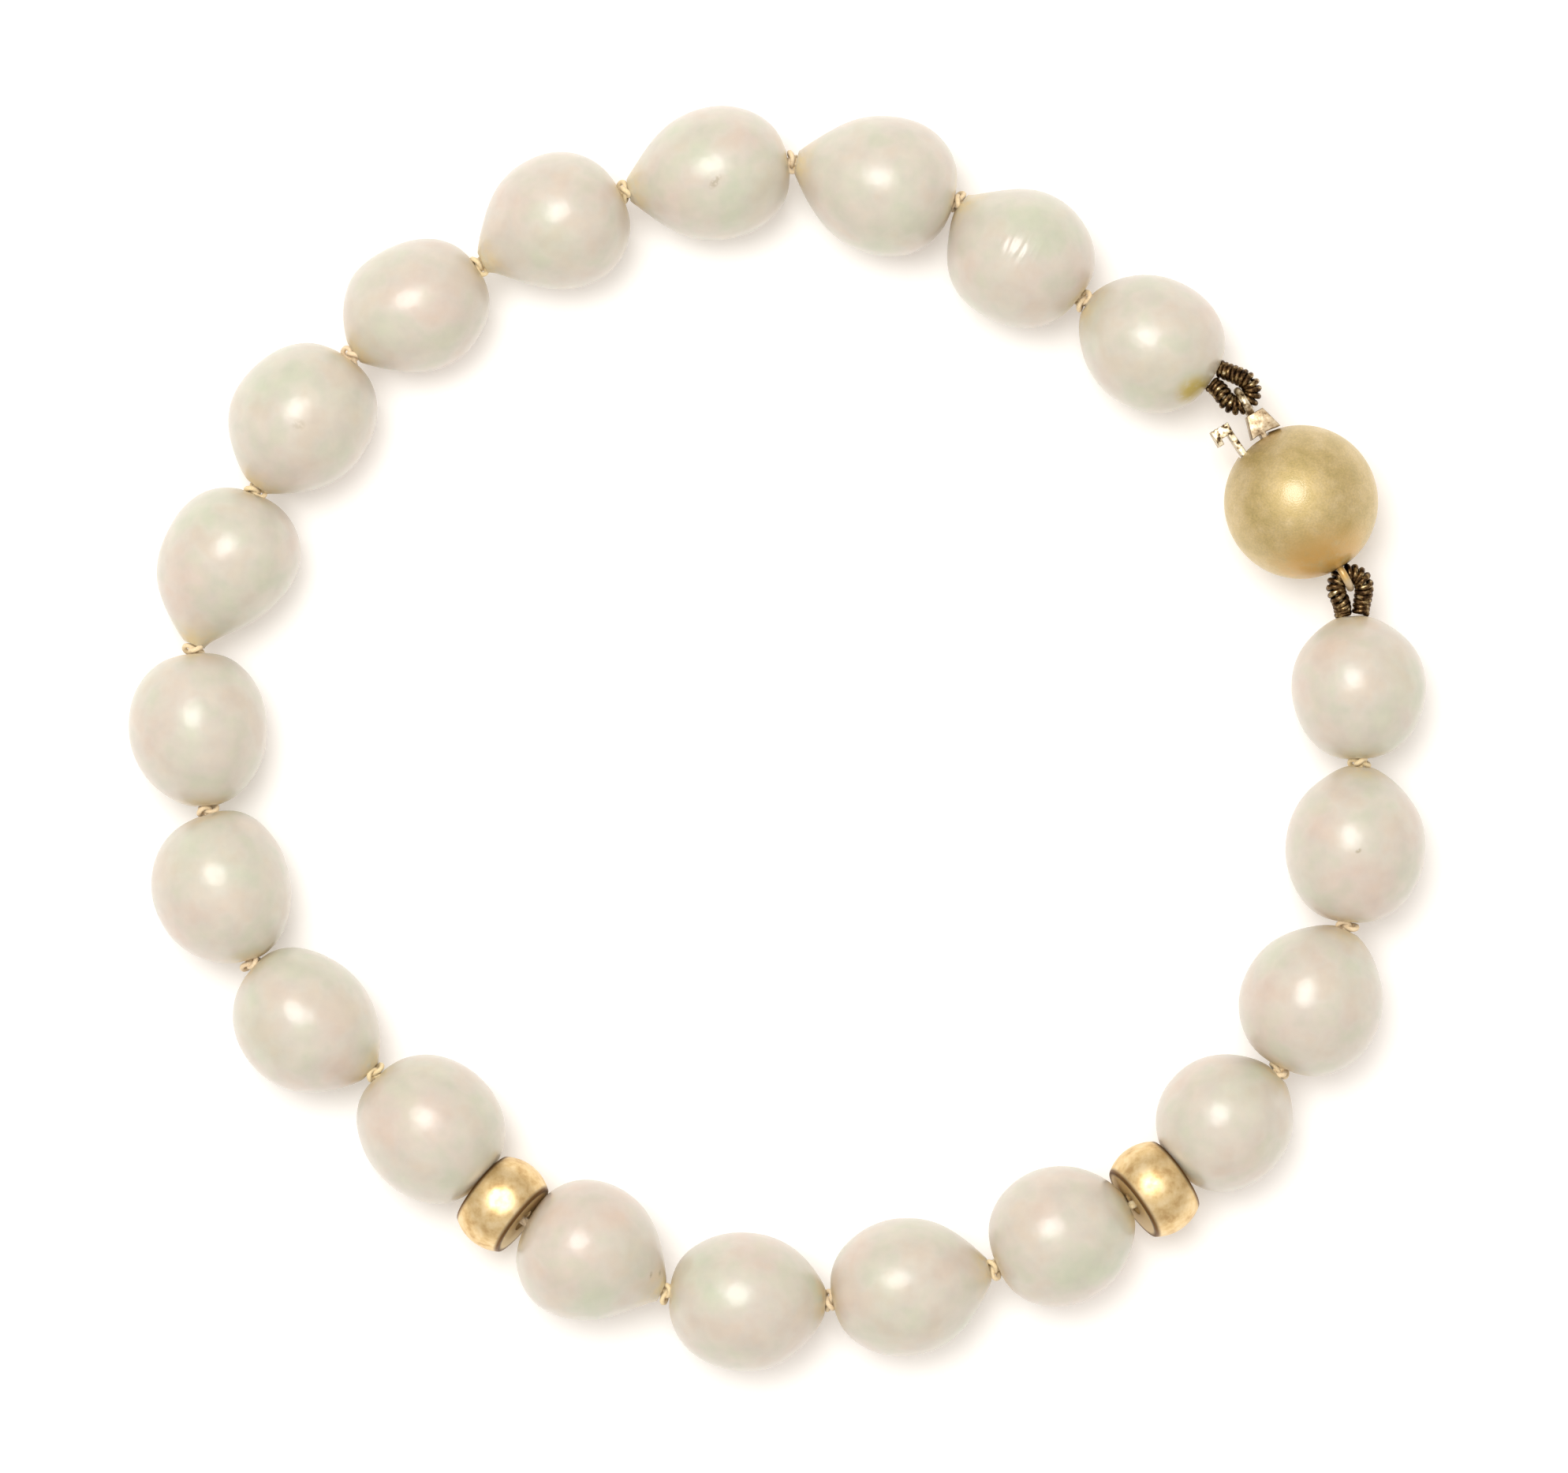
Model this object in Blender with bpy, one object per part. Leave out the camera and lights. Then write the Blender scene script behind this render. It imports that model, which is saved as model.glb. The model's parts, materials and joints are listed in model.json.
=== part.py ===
"""Pearl bracelet with drop-shaped pearls, two gold rondelles and a gold ball clasp.

Lengths are in metres, with +Z up. The bracelet lies fastened, as a loop on the plane z = 0, and the
loop's box is centred on the origin. The strand runs anticlockwise, seen from above, from the clasp's
tongue end. Each pearl turns its blunt end to the start of the strand and its drawn-out end onwards.
"""

import math
from collections import namedtuple

import bmesh
import bpy
from mathutils import Matrix, Vector

MM = 0.001

# Pearls
PEARL_GIRTH = 7.0 * MM
PEARL_BORE = 0.8 * MM
PEARL_MOUTH = 1.1 * MM
PEARL_SIDES = 16
PEARL_RINGS = 12

# Silk thread, with a knot between one pearl and the next
THREAD_THICKNESS = 0.45 * MM
KNOT_GIRTH = 1.0 * MM
KNOT_LENGTH = 0.35 * MM
KNOT_SIDES = 10
KNOT_RINGS = 6

# Clearance between a piece and the piece that it rests against
SEAT_GAP = 0.1 * MM

# Gold rondelles, each after the pearl with this number. Lean is how far each one's top leans onwards
# along the strand, in degrees.
RONDELLE_AFTER = (12, 16)
RONDELLE_LEAN = (-11.0, 11.0)
RONDELLE_GIRTH = 5.0 * MM
RONDELLE_RIM = 4.1 * MM
RONDELLE_LENGTH = 2.8 * MM
RONDELLE_BORE = 1.2 * MM
RONDELLE_GAP = 0.25 * MM
RONDELLE_SIDES = 16
RONDELLE_ARCS = 6

# Ball of the clasp
BALL_GIRTH = 8.0 * MM
BALL_WALL = 0.35 * MM
BALL_SIDES = 24
BALL_RINGS = 16
HOLLOW_SIDES = 16
HOLLOW_RINGS = 10

# How far the clasp lies outside the straight line between the two pearls beside it
CLASP_OUTSET = 0.6 * MM

# Rings at the clasp's two ends, soldered on
RING_WIRE = 0.4 * MM
RING_HOLE = 1.1 * MM
RING_SIDES = 14
RING_WIRE_SIDES = 6
BALL_RING_SINK = 0.55 * MM
TONGUE_RING_SINK = 0.3 * MM

# Tongue of the clasp, a folded strip that stands on edge in the ball's slot
STRIP_HEIGHT = 1.8 * MM
STRIP_THICKNESS = 0.3 * MM
FOLD_DEPTH = 1.6 * MM
FOLD_WIDTH = 0.65 * MM
COLLAR_RISE = 1.15 * MM
COLLAR_OUTER = 0.65 * MM
COLLAR_INNER = 0.3 * MM
COLLAR_FLARE = 0.35 * MM

# Thumb leaf, the sprung half of the strip, with its catch and its thumb tab
LEAF_SLOPE = 4.5
CATCH_LENGTH = 0.35 * MM
CATCH_RISE = 0.35 * MM
CATCH_SETBACK = 0.85 * MM
SLOT_GAP = 0.12 * MM
TAB_RISE = 0.9 * MM
TAB_THICKNESS = 0.6 * MM
TAB_LENGTH = 0.7 * MM
TAB_SLOPE = 1.0
TAB_LIP = 0.3 * MM
TAB_GRIPS = 4
TAB_GRIP_DEPTH = 0.08 * MM

# Coiled wire sleeve that covers the thread where it loops through a clasp ring
SLEEVE_THICKNESS = 0.8 * MM
SLEEVE_LEAD = 1.25 * MM
SLEEVE_SPLAY = 0.46 * MM
SLEEVE_TURN_POINTS = 11
SLEEVE_LEG_POINTS = 7

# Shape of each pearl, in shares of PEARL_GIRTH apart from belly, a share of the pearl's own length,
# and point, which is 0 on a round pearl and 1 on one that is drawn out to a cone. Sway puts the belly
# off the hole's line and lean does the same for the drawn-out end; both are positive away from the
# loop's middle.
Pearl = namedtuple("Pearl", "girth length belly point sway lean")
PEARLS = (
    Pearl(1.00, 1.08, 0.46, 0.45, -0.02, 0.00),
    Pearl(1.04, 1.11, 0.48, 0.90, -0.03, -0.04),
    Pearl(1.04, 1.19, 0.41, 1.00, -0.02, 0.00),
    Pearl(0.99, 1.19, 0.43, 1.10, 0.01, 0.00),
    Pearl(1.03, 1.13, 0.40, 1.25, 0.01, 0.03),
    Pearl(0.98, 1.09, 0.49, 0.65, 0.01, 0.04),
    Pearl(1.05, 1.15, 0.48, 0.65, 0.02, 0.02),
    Pearl(1.01, 1.19, 0.39, 1.30, -0.02, 0.06),
    Pearl(1.03, 1.12, 0.47, 0.25, 0.01, 0.00),
    Pearl(1.03, 1.11, 0.48, 0.15, 0.05, 0.00),
    Pearl(1.01, 1.15, 0.48, 0.65, 0.06, 0.00),
    Pearl(1.04, 1.09, 0.52, 0.00, -0.03, 0.00),
    Pearl(1.06, 1.11, 0.40, 1.10, -0.01, -0.03),
    Pearl(1.03, 1.14, 0.48, 0.50, 0.03, 0.00),
    Pearl(1.02, 1.17, 0.45, 0.90, 0.00, 0.00),
    Pearl(1.03, 1.06, 0.46, 0.30, -0.02, 0.00),
    Pearl(1.00, 1.01, 0.48, 0.40, -0.03, 0.00),
    Pearl(1.06, 1.11, 0.46, 0.50, -0.01, 0.00),
    Pearl(1.04, 1.14, 0.49, 0.45, 0.01, 0.00),
    Pearl(1.00, 1.05, 0.50, 0.40, 0.02, 0.00),
)

# Route of the strand as it lies: the angle round the loop's middle, in degrees, and the route's
# distance from the middle there, in shares of the loop's radius. The radius itself is worked out so
# that the strand closes.
START_ANGLE = 39.5
Bend = namedtuple("Bend", "angle reach")
ROUTE = (
    Bend(39.2, 0.994),
    Bend(54.8, 0.932),
    Bend(71.4, 0.989),
    Bend(88.8, 1.007),
    Bend(105.8, 0.992),
    Bend(122.4, 0.978),
    Bend(138.4, 1.003),
    Bend(155.1, 1.015),
    Bend(171.9, 1.038),
    Bend(187.9, 1.014),
    Bend(203.9, 1.010),
    Bend(220.7, 0.926),
    Bend(240.4, 0.962),
    Bend(259.4, 1.003),
    Bend(276.1, 1.003),
    Bend(293.1, 1.015),
    Bend(310.8, 1.042),
    Bend(326.7, 1.063),
    Bend(342.1, 1.055),
    Bend(357.4, 1.025),
    Bend(371.7, 1.031),
)

# Sizes that follow from the ones above
BALL_RADIUS = BALL_GIRTH / 2
RING_RADIUS = (RING_HOLE + RING_WIRE) / 2
RING_OUTER = RING_HOLE / 2 + RING_WIRE
COLLAR_BASE = BALL_RADIUS + SEAT_GAP
COLLAR_TOP = COLLAR_BASE + COLLAR_RISE
TONGUE_RING_AT = COLLAR_TOP + RING_OUTER - TONGUE_RING_SINK
BALL_RING_AT = -(BALL_RADIUS + RING_OUTER - BALL_RING_SINK)
TONGUE_MOUTH = TONGUE_RING_AT + RING_RADIUS + SLEEVE_LEAD
BALL_MOUTH = BALL_RING_AT - RING_RADIUS - SLEEVE_LEAD
KNOT_GAP = KNOT_LENGTH + 2 * SEAT_GAP

# Strand: each piece's place is the plan points where it starts and ends, and its axis height
Span = namedtuple("Span", "name shape start end height")


def clear_scene():
    for obj in list(bpy.data.objects):
        bpy.data.objects.remove(obj)


def collection(name):
    made = bpy.data.collections.new(name)
    bpy.context.scene.collection.children.link(made)
    return made


def material(name, colour, roughness, metallic):
    made = bpy.data.materials.new(name)
    made.use_nodes = True
    shader = made.node_tree.nodes["Principled BSDF"]
    shader.inputs["Base Color"].default_value = (*colour, 1)
    shader.inputs["Roughness"].default_value = roughness
    shader.inputs["Metallic"].default_value = metallic
    return made


def smoothstep(share):
    return share * share * (3 - 2 * share)


# Route

def reach_at(angle):
    """The route's distance from the middle, as a share of the loop's radius: a smooth closed curve."""
    turn = 360.0
    first = ROUTE[0].angle
    place = first + (angle - first) % turn
    rows = [Bend(row.angle - turn, row.reach) for row in ROUTE[-2:]]
    rows += list(ROUTE)
    rows += [Bend(row.angle + turn, row.reach) for row in ROUTE[:2]]
    index = next(i for i in range(1, len(rows) - 2) if rows[i].angle <= place < rows[i + 1].angle)
    before, low, high, after = rows[index - 1 : index + 3]
    width = high.angle - low.angle
    low_slope = (high.reach - before.reach) / (high.angle - before.angle) * width
    high_slope = (after.reach - low.reach) / (after.angle - low.angle) * width
    share = (place - low.angle) / width
    return (
        low.reach * (1 - smoothstep(share))
        + high.reach * smoothstep(share)
        + low_slope * share * (1 - share) ** 2
        - high_slope * share ** 2 * (1 - share)
    )


def route_point(angle, radius):
    turned = math.radians(angle)
    return Vector((math.cos(turned), math.sin(turned))) * (radius * reach_at(angle))


def step_along(angle, chord, radius):
    """The angle at which the route is a straight distance, chord, from where it is at angle."""
    here = route_point(angle, radius)
    low, high = angle, angle + 90
    for _ in range(40):
        middle = (low + high) / 2
        if (route_point(middle, radius) - here).length < chord:
            low = middle
        else:
            high = middle
    return high


def strand_pieces():
    """Every piece in order from the clasp's tongue end: its name, its shape, its length on the
    string and the gap after it."""
    pieces = []
    for number, shape in enumerate(PEARLS, start=1):
        if number in RONDELLE_AFTER:
            gap = RONDELLE_GAP
        elif number == len(PEARLS):
            gap = SEAT_GAP
        else:
            gap = KNOT_GAP
        pieces.append((f"pearl_{number:02d}", shape, shape.length * PEARL_GIRTH, gap))
        if number in RONDELLE_AFTER:
            name = f"rondelle_{RONDELLE_AFTER.index(number) + 1}"
            pieces.append((name, None, RONDELLE_LENGTH, RONDELLE_GAP))
    pieces.append(("clasp", None, TONGUE_MOUTH - BALL_MOUTH, SEAT_GAP))
    return pieces


def axis_height(name, shape):
    if shape:
        return max(radius for _, radius in pearl_profile(shape))
    return BALL_RADIUS if name == "clasp" else PEARL_GIRTH / 2


def lay_out(radius):
    """The strand laid along the route at this loop radius, and the angle at which it ends."""
    angle = START_ANGLE
    spans = []
    for name, shape, length, gap in strand_pieces():
        after = step_along(angle, length, radius)
        start, end = route_point(angle, radius), route_point(after, radius)
        spans.append(Span(name, shape, start, end, axis_height(name, shape)))
        angle = step_along(after, gap, radius)
    return spans, angle


def closed_strand():
    """The strand laid out at the loop radius that brings it back to its start."""
    total = sum(length + gap for _, _, length, gap in strand_pieces())
    small, large = total / 8, total / 5
    for _ in range(40):
        radius = (small + large) / 2
        spans, angle = lay_out(radius)
        if angle > START_ANGLE + 360:
            small = radius
        else:
            large = radius
    return spans


def heading(span):
    along = span.end - span.start
    return math.atan2(along.y, along.x)


def direction(span):
    return (span.end - span.start).normalized().to_3d()


def start_of(span):
    return Vector((*span.start, span.height))


def end_of(span):
    return Vector((*span.end, span.height))


# Shared modelling helpers

def place(name, data, finish, parent, group):
    """A new object with its own finish, hung on a parent."""
    obj = bpy.data.objects.new(name, data)
    group.objects.link(obj)
    if finish:
        data.materials.append(finish)
    obj.parent = parent
    return obj


def mesh_of(bm, name):
    bmesh.ops.recalc_face_normals(bm, faces=bm.faces)
    made = bpy.data.meshes.new(name)
    bm.to_mesh(made)
    bm.free()
    made.shade_smooth()
    made.set_sharp_from_angle(angle=math.radians(40))
    return made


def spun(profile, sides):
    """A closed profile of (x, radius) points spun about the x axis. Flats lie at the stated radii,
    and one of them is at the very bottom."""
    bm = bmesh.new()
    half_step = math.pi / sides
    outwards = Vector((0, math.tan(half_step), -1))
    corners = [bm.verts.new(Vector((x, 0, 0)) + outwards * radius) for x, radius in profile]
    edges = [bm.edges.new(pair) for pair in zip(corners, corners[1:] + corners[:1])]
    bmesh.ops.spin(
        bm,
        geom=corners + edges,
        cent=(0, 0, 0),
        axis=(1, 0, 0),
        angle=2 * math.pi,
        steps=sides,
        use_merge=True,
    )
    return bm


def sphere(name, radius, sides, rings):
    bm = bmesh.new()
    bmesh.ops.create_uvsphere(bm, u_segments=sides, v_segments=rings, radius=radius)
    return mesh_of(bm, name)


def box(name, low, high):
    bm = bmesh.new()
    bmesh.ops.create_cube(bm, size=1)
    bmesh.ops.scale(bm, verts=bm.verts, vec=high - low)
    bmesh.ops.translate(bm, verts=bm.verts, vec=(low + high) / 2)
    return mesh_of(bm, name)


def plate(name, outline, height):
    """A closed plan outline as a flat 2D curve, filled and extruded to its height."""
    curve = bpy.data.curves.new(name, "CURVE")
    curve.dimensions = "2D"
    curve.fill_mode = "BOTH"
    curve.extrude = height / 2
    spline = curve.splines.new("POLY")
    spline.points.add(len(outline) - 1)
    for point, (x, y) in zip(spline.points, outline):
        point.co = (x, y, 0, 1)
    spline.use_cyclic_u = True
    return curve


def tube(name, route, thickness):
    """A round tube of eight sides with filled caps along a list of points."""
    curve = bpy.data.curves.new(name, "CURVE")
    curve.dimensions = "3D"
    curve.bevel_depth = thickness / 2
    curve.bevel_resolution = 2
    curve.use_fill_caps = True
    spline = curve.splines.new("POLY")
    spline.points.add(len(route) - 1)
    for point, spot in zip(spline.points, route):
        point.co = (*spot, 1)
    return curve


def made_mesh(obj):
    """The object's curve turned into a welded mesh, under the same name, place and parent."""
    graph = bpy.context.evaluated_depsgraph_get()
    mesh = bpy.data.meshes.new_from_object(obj.evaluated_get(graph))
    bm = bmesh.new()
    bm.from_mesh(mesh)
    bmesh.ops.remove_doubles(bm, verts=bm.verts, dist=0.001 * MM)
    bmesh.ops.recalc_face_normals(bm, faces=bm.faces)
    bm.to_mesh(mesh)
    bm.free()
    name, parent, spot, turn = obj.name, obj.parent, obj.location.copy(), obj.rotation_euler.copy()
    group = obj.users_collection[0]
    bpy.data.objects.remove(obj)
    solid = bpy.data.objects.new(name, mesh)
    group.objects.link(solid)
    solid.parent, solid.location, solid.rotation_euler = parent, spot, turn
    return solid


def boolean(obj, other, operation):
    modifier = obj.modifiers.new(f"{operation.lower()} {other.name}", "BOOLEAN")
    modifier.operation = operation
    modifier.object = other


def helper(name, data, parent, group):
    """A cutter or a shape to be joined, which isn't itself a piece of the bracelet."""
    obj = place(name, data, None, parent, group)
    obj.hide_render = True
    obj.display_type = "WIRE"
    return obj


# Pearls

def pearl_profile(shape):
    """Half outline of a pearl along its hole: the outer skin from mouth to mouth, then the bore."""
    length = shape.length * PEARL_GIRTH
    belly = shape.belly * length
    mouth = PEARL_MOUTH / 2
    swell = shape.girth * PEARL_GIRTH / 2 - mouth
    points = []
    for ring in range(PEARL_RINGS):
        turn = math.pi * ring / (PEARL_RINGS - 1)
        if turn < math.pi / 2:
            x, power = belly * (1 - math.cos(turn)), 1
        else:
            past_belly = -math.cos(turn)
            x = belly + (length - belly) * past_belly
            power = 1 + shape.point * smoothstep(past_belly)
        points.append((x, mouth + swell * max(math.sin(turn), 0) ** power))
    bore = PEARL_BORE / 2
    return points + [(length, bore), (0, bore)]


def pearl_mesh(name, shape):
    bm = spun(pearl_profile(shape), PEARL_SIDES)
    length = shape.length * PEARL_GIRTH
    belly = shape.belly * length
    for vertex in bm.verts:
        if vertex.co.yz.length < PEARL_MOUTH / 2:
            continue
        depth = vertex.co.x - belly
        share = depth / (length - belly) if depth > 0 else depth / belly
        turn = math.acos(max(-1, min(1, -share)))
        aside = shape.sway * math.sin(turn) + shape.lean * max(0, -math.sin(2 * turn))
        vertex.co.y -= aside * PEARL_GIRTH
    return mesh_of(bm, name)


def add_pearl(span, finish, root, group):
    obj = place(span.name, pearl_mesh(span.name, span.shape), finish, root, group)
    obj.location = start_of(span)
    obj.rotation_euler.z = heading(span)


# Rondelles

def rondelle_profile():
    """Half section of a rondelle along its hole, centred on x = 0: a domed band between two flat
    ends, and the hole."""
    half = RONDELLE_LENGTH / 2
    rim = RONDELLE_RIM / 2
    dome = RONDELLE_GIRTH / 2 - rim
    points = []
    for step in range(RONDELLE_ARCS + 1):
        turn = math.pi * step / RONDELLE_ARCS
        points.append((-half * math.cos(turn), rim + dome * math.sin(turn)))
    bore = RONDELLE_BORE / 2
    return points + [(half, bore), (-half, bore)]


def add_rondelle(span, finish, root, group):
    obj = place(
        span.name, mesh_of(spun(rondelle_profile(), RONDELLE_SIDES), span.name), finish, root, group
    )
    number = int(span.name.rpartition("_")[2])
    obj.location = (start_of(span) + end_of(span)) / 2
    obj.rotation_euler = (0, math.radians(RONDELLE_LEAN[number - 1]), heading(span))


# Thread

def knot_mesh(centre, along):
    bm = bmesh.new()
    bmesh.ops.create_uvsphere(bm, u_segments=KNOT_SIDES, v_segments=KNOT_RINGS, radius=1)
    turn = along.to_track_quat("Z", "Y").to_matrix().to_4x4()
    size = Matrix.Diagonal((KNOT_GIRTH / 2, KNOT_GIRTH / 2, KNOT_LENGTH / 2, 1))
    bm.transform(Matrix.Translation(centre) @ turn @ size)
    return bm


def add_thread(spans, finish, root, group, helpers):
    """One thread through every bead, with a knot in each gap between two pearls."""
    strung = [span for span in spans if span.name != "clasp"]
    route = [point for span in strung for point in (start_of(span), end_of(span))]
    knots = bmesh.new()
    for span, following in zip(strung, strung[1:]):
        if not (span.shape and following.shape):
            continue
        near, far = end_of(span), start_of(following)
        knot = knot_mesh((near + far) / 2, (far - near).normalized())
        mesh = bpy.data.meshes.new("knot")
        knot.to_mesh(mesh)
        knot.free()
        knots.from_mesh(mesh)
        bpy.data.meshes.remove(mesh)
    knots_piece = helper("knots", mesh_of(knots, "knots"), root, helpers)
    cord = place("silk_thread", tube("silk_thread", route, THREAD_THICKNESS), finish, root, group)
    bpy.context.view_layer.update()
    boolean(made_mesh(cord), knots_piece, "UNION")


# Clasp

def ring_mesh(name, centre):
    """An upright ring in the plane of the clasp's axis, so that a sleeve passes level through it."""
    bm = bmesh.new()
    wire = RING_WIRE / 2
    section = [
        bm.verts.new((RING_RADIUS + wire * math.cos(turn), 0, wire * math.sin(turn)))
        for turn in (2 * math.pi * side / RING_WIRE_SIDES for side in range(RING_WIRE_SIDES))
    ]
    edges = [bm.edges.new(pair) for pair in zip(section, section[1:] + section[:1])]
    bmesh.ops.spin(
        bm,
        geom=section + edges,
        cent=(0, 0, 0),
        axis=(0, 0, 1),
        angle=2 * math.pi,
        steps=RING_SIDES,
        use_merge=True,
    )
    upright = Matrix.Rotation(math.pi / 2, 4, "X")
    bm.transform(Matrix.Translation((centre, 0, 0)) @ upright)
    return mesh_of(bm, name)


def leaf_line(depth):
    """Where the thumb leaf's near face lies across the clasp at a distance along its axis."""
    root = STRIP_THICKNESS / 2 + FOLD_WIDTH
    return root + (depth + FOLD_DEPTH) * math.tan(math.radians(LEAF_SLOPE))


def collar_seat(across):
    """A corner of the collar's base, which follows the ball's curve, at a distance across the clasp."""
    return math.sqrt(COLLAR_BASE ** 2 - across ** 2), across


def tongue_outline():
    """Plan of the tongue's fixed half: the fold, the strip that lies in the ball, and the collar."""
    half = STRIP_THICKNESS / 2
    fold = half + FOLD_WIDTH - SEAT_GAP
    outer, inner = COLLAR_OUTER + COLLAR_FLARE, COLLAR_INNER + COLLAR_FLARE
    return [
        (-FOLD_DEPTH - STRIP_THICKNESS, -half),
        collar_seat(-half),
        collar_seat(-outer / 2),
        collar_seat(-outer),
        (COLLAR_TOP, -COLLAR_OUTER),
        (COLLAR_TOP, COLLAR_INNER),
        collar_seat(inner),
        collar_seat(inner / 2),
        collar_seat(half),
        (-FOLD_DEPTH, half),
        (-FOLD_DEPTH, fold),
        (-FOLD_DEPTH - STRIP_THICKNESS, fold),
    ]


def leaf_outline():
    """Plan of the thumb leaf, from its root at the fold, past the catch and out to the thumb tab,
    whose outer face has small grips. It is drawn about the fold, which is its hinge."""
    catch_end = BALL_RADIUS - BALL_WALL - CATCH_SETBACK
    catch_start = catch_end - CATCH_LENGTH
    neck_end = BALL_RADIUS + TAB_RISE
    root_near, root_far = leaf_line(-FOLD_DEPTH), leaf_line(-FOLD_DEPTH) + STRIP_THICKNESS

    def far_face(depth):
        return leaf_line(depth) + STRIP_THICKNESS

    slope = math.tan(math.radians(TAB_SLOPE))
    tab_near, tab_tip = leaf_line(neck_end), far_face(neck_end) + TAB_LENGTH
    top = neck_end + TAB_THICKNESS
    top_tip = top - slope * (tab_tip - tab_near)
    lip = tab_tip - STRIP_THICKNESS
    points = [
        (-FOLD_DEPTH, root_near),
        (neck_end, leaf_line(neck_end)),
        (top, tab_near),
    ]
    for grip in range(TAB_GRIPS):
        for corner, depth in ((0.25, 0), (0.5, TAB_GRIP_DEPTH), (0.75, 0)):
            across = tab_near + (grip + corner) / TAB_GRIPS * (tab_tip - tab_near)
            points.append((top - slope * (across - tab_near) - depth, across))
    points += [
        (top_tip, tab_tip),
        (top_tip - TAB_THICKNESS - TAB_LIP, tab_tip),
        (top_tip - TAB_THICKNESS - TAB_LIP, lip),
        (top_tip - TAB_THICKNESS, lip),
        (neck_end, far_face(neck_end)),
        (catch_end, far_face(catch_end)),
        (catch_end, far_face(catch_end) + CATCH_RISE),
        (catch_start, far_face(catch_start)),
        (-FOLD_DEPTH, root_far),
    ]
    return [(x + FOLD_DEPTH, y - root_near) for x, y in points]


def add_ball(finish, frame, group, helpers):
    """The hollow ball, slotted for the tongue, with the ring of the far end soldered on."""
    ball = place(
        "clasp_ball", sphere("clasp_ball", BALL_RADIUS, BALL_SIDES, BALL_RINGS), finish, frame, group
    )
    inner = BALL_RADIUS - BALL_WALL
    slot_far = leaf_line(BALL_RADIUS) + STRIP_THICKNESS + SLOT_GAP
    half_height = STRIP_HEIGHT / 2 + SLOT_GAP
    slot = box(
        "slot",
        Vector((inner / 2, -STRIP_THICKNESS / 2 - SLOT_GAP, -half_height)),
        Vector((BALL_GIRTH, slot_far, half_height)),
    )
    ring = helper("ball_ring", ring_mesh("ball_ring", BALL_RING_AT), frame, helpers)
    hollow = helper("hollow", sphere("hollow", inner, HOLLOW_SIDES, HOLLOW_RINGS), frame, helpers)
    boolean(ball, ring, "UNION")
    boolean(ball, hollow, "DIFFERENCE")
    boolean(ball, helper("slot", slot, frame, helpers), "DIFFERENCE")


def add_tongue(finish, frame, group, helpers):
    strip = place(
        "clasp_tongue", plate("clasp_tongue", tongue_outline(), STRIP_HEIGHT), finish, frame, group
    )
    bpy.context.view_layer.update()
    ring = helper("tongue_ring", ring_mesh("tongue_ring", TONGUE_RING_AT), frame, helpers)
    boolean(made_mesh(strip), ring, "UNION")


def add_thumb_leaf(finish, frame, group):
    leaf = place(
        "clasp_thumb_leaf", plate("clasp_thumb_leaf", leaf_outline(), STRIP_HEIGHT), finish, frame, group
    )
    leaf.location = (-FOLD_DEPTH, leaf_line(-FOLD_DEPTH), 0)


# Wire sleeves

def eased(start, start_pull, end, end_pull, steps):
    """Points on a smooth curve from start to end, which leaves and arrives along the two pulls."""
    points = []
    for step in range(steps):
        share = step / steps
        points.append(
            start * (1 - smoothstep(share))
            + end * smoothstep(share)
            + start_pull * (share * (1 - share) ** 2)
            - end_pull * (share ** 2 * (1 - share))
        )
    return points


def sleeve_route(mouth, outwards, bend_centre, towards_ring):
    """Centre line of a sleeve that leaves a pearl's mouth, turns through a clasp ring and comes
    back. Bend_centre is the middle of the ring's far wire, which the sleeve turns round."""
    across_mouth = Vector((-outwards.y, outwards.x, 0))
    across_ring = Vector((-towards_ring.y, towards_ring.x, 0))
    seat = mouth + outwards * SEAT_GAP
    leg = SLEEVE_LEAD
    out = eased(
        seat + across_mouth * SLEEVE_SPLAY,
        outwards * leg,
        bend_centre + across_ring * RING_RADIUS,
        towards_ring * leg,
        SLEEVE_LEG_POINTS,
    )
    back = eased(
        seat - across_mouth * SLEEVE_SPLAY,
        outwards * leg,
        bend_centre - across_ring * RING_RADIUS,
        towards_ring * leg,
        SLEEVE_LEG_POINTS,
    )
    turn = []
    for step in range(SLEEVE_TURN_POINTS):
        angle = math.pi * step / (SLEEVE_TURN_POINTS - 1)
        turn.append(
            bend_centre
            + across_ring * (RING_RADIUS * math.cos(angle))
            + towards_ring * (RING_RADIUS * math.sin(angle))
        )
    return out + turn + back[::-1]


def add_sleeves(spans, finish, root, group):
    """A sleeve from the strand's first pearl to the tongue's ring, and one from its last pearl to
    the ball's ring."""
    clasp = spans[-1]
    along = direction(clasp)
    ball = clasp_centre(clasp)
    first, last = spans[0], spans[-2]
    tongue_bend = ball + along * (TONGUE_RING_AT + RING_RADIUS)
    ball_bend = ball + along * (BALL_RING_AT - RING_RADIUS)
    routes = {
        "wire_sleeve_1": sleeve_route(start_of(first), -direction(first), tongue_bend, -along),
        "wire_sleeve_2": sleeve_route(end_of(last), direction(last), ball_bend, along),
    }
    for name, route in routes.items():
        place(name, tube(name, route, SLEEVE_THICKNESS), finish, root, group)


def clasp_centre(clasp):
    along = direction(clasp)
    outwards = Vector((along.y, -along.x, 0))
    return start_of(clasp) - along * BALL_MOUTH + outwards * CLASP_OUTSET


def add_clasp(span, satin, polished, root, group, helpers):
    frame = place("clasp_frame", None, None, root, group)
    frame.location = clasp_centre(span)
    frame.rotation_euler.z = heading(span)
    add_ball(satin, frame, group, helpers)
    add_tongue(polished, frame, group, helpers)
    add_thumb_leaf(polished, frame, group)


# Whole bracelet

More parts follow.
